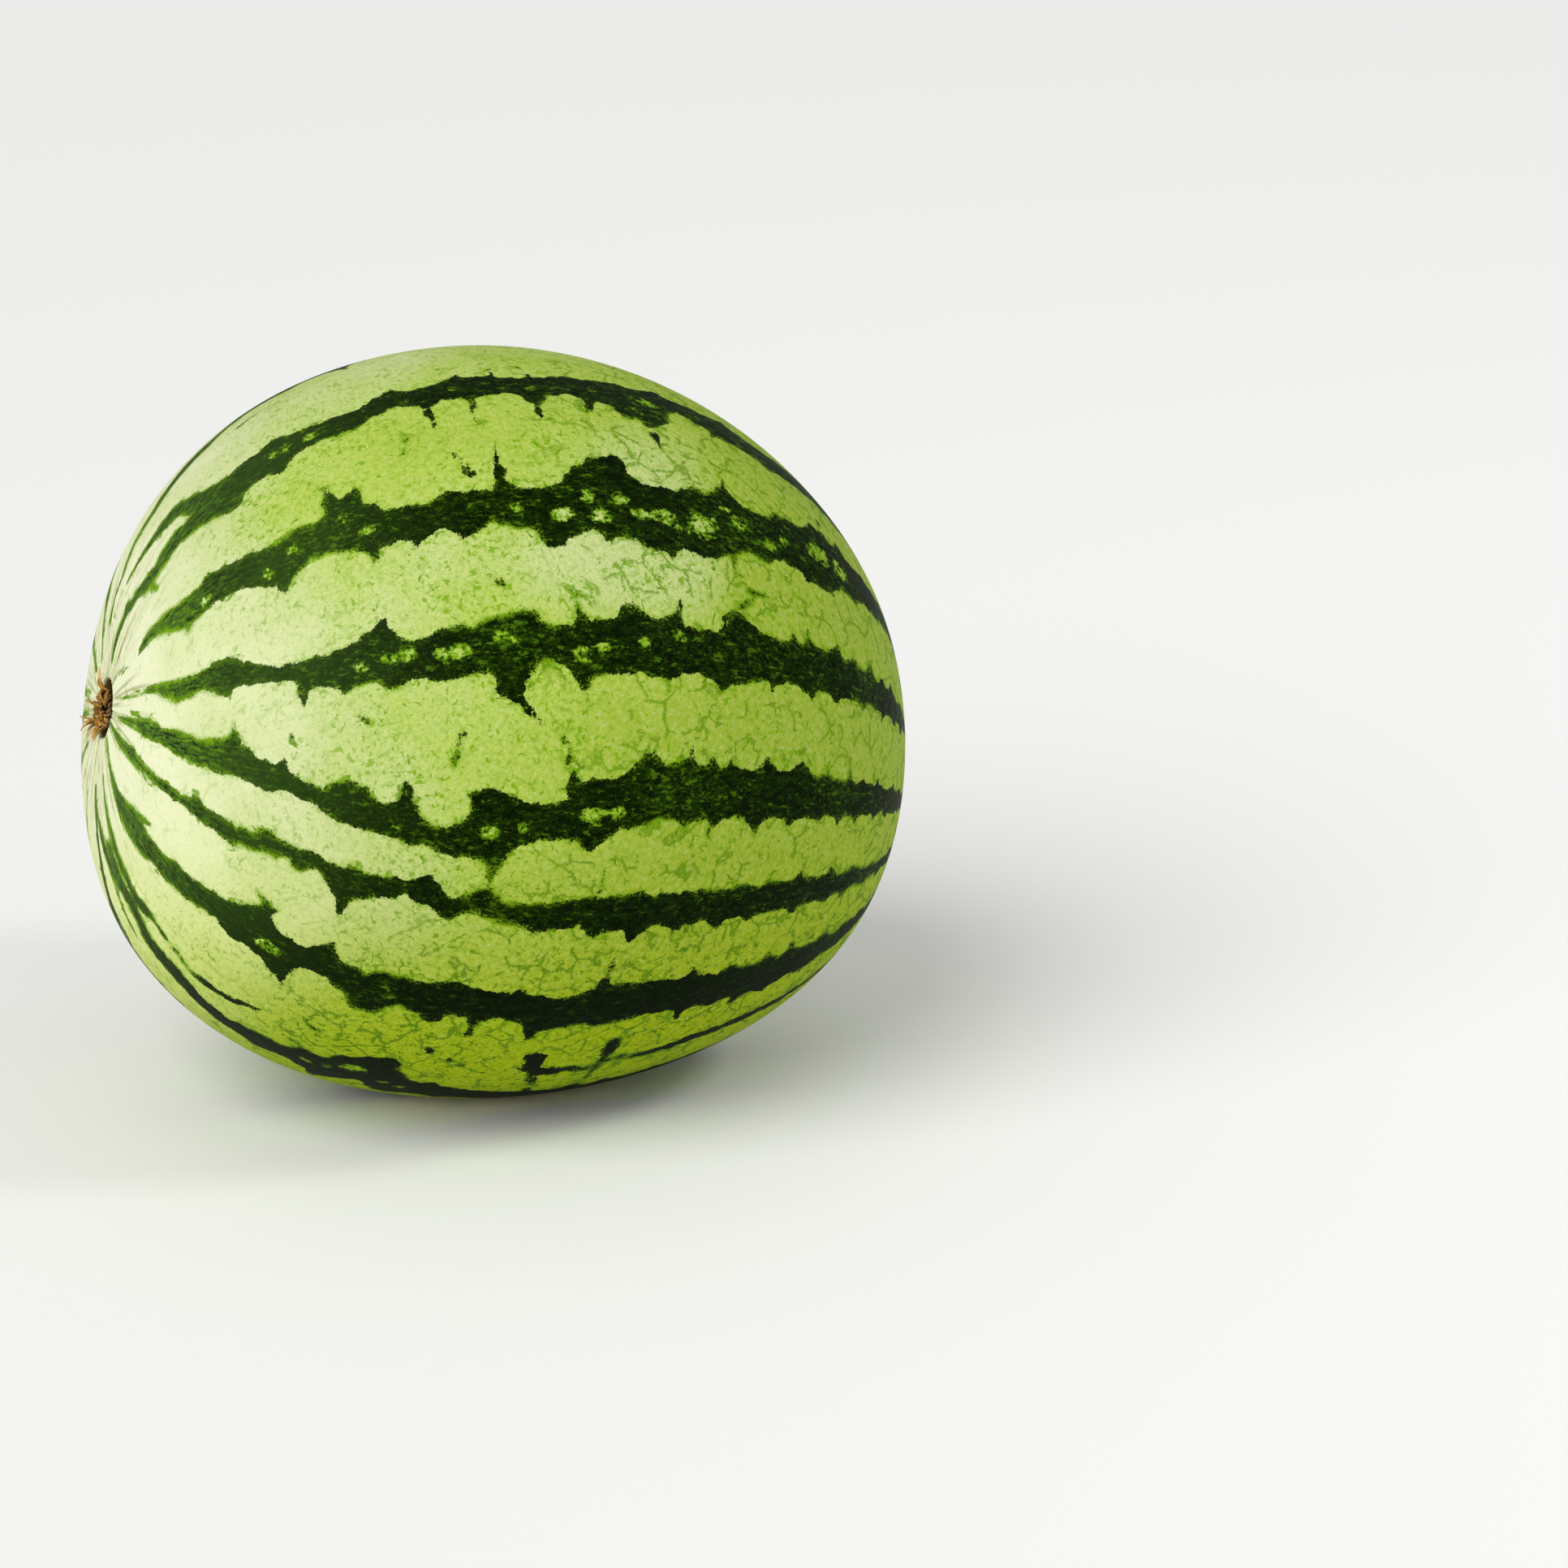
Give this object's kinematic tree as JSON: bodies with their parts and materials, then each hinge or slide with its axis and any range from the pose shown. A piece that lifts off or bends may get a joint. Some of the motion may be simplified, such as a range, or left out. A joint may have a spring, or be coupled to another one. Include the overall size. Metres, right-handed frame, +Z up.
{
  "type": "watermelon",
  "caption": "Whole small watermelon, a blunt oval fruit lying on its side on a flat rest spot, with a dry stem scar in a cup at one end and a dimple at the other.",
  "frame": {"origin": "bottom centre of the part's box, on the surface that the fruit rests on", "axes": "+Z up, +X towards the blossom end, so the stem end faces -X and lies raised by 10.9 degrees"},
  "size_m": [0.1748, 0.1586, 0.1573],
  "materials": {
    "rind": "smooth waxy rind with a soft gloss, pale green with darker green veins and jagged dark green stripes from end to end, cream by the stem",
    "cork": "dry, matt, golden brown cork, dark in its cleft"
  },
  "bodies": {
    "root": {"fruit": "rind", "stem_scar": "cork"}
  },
  "joints": []
}
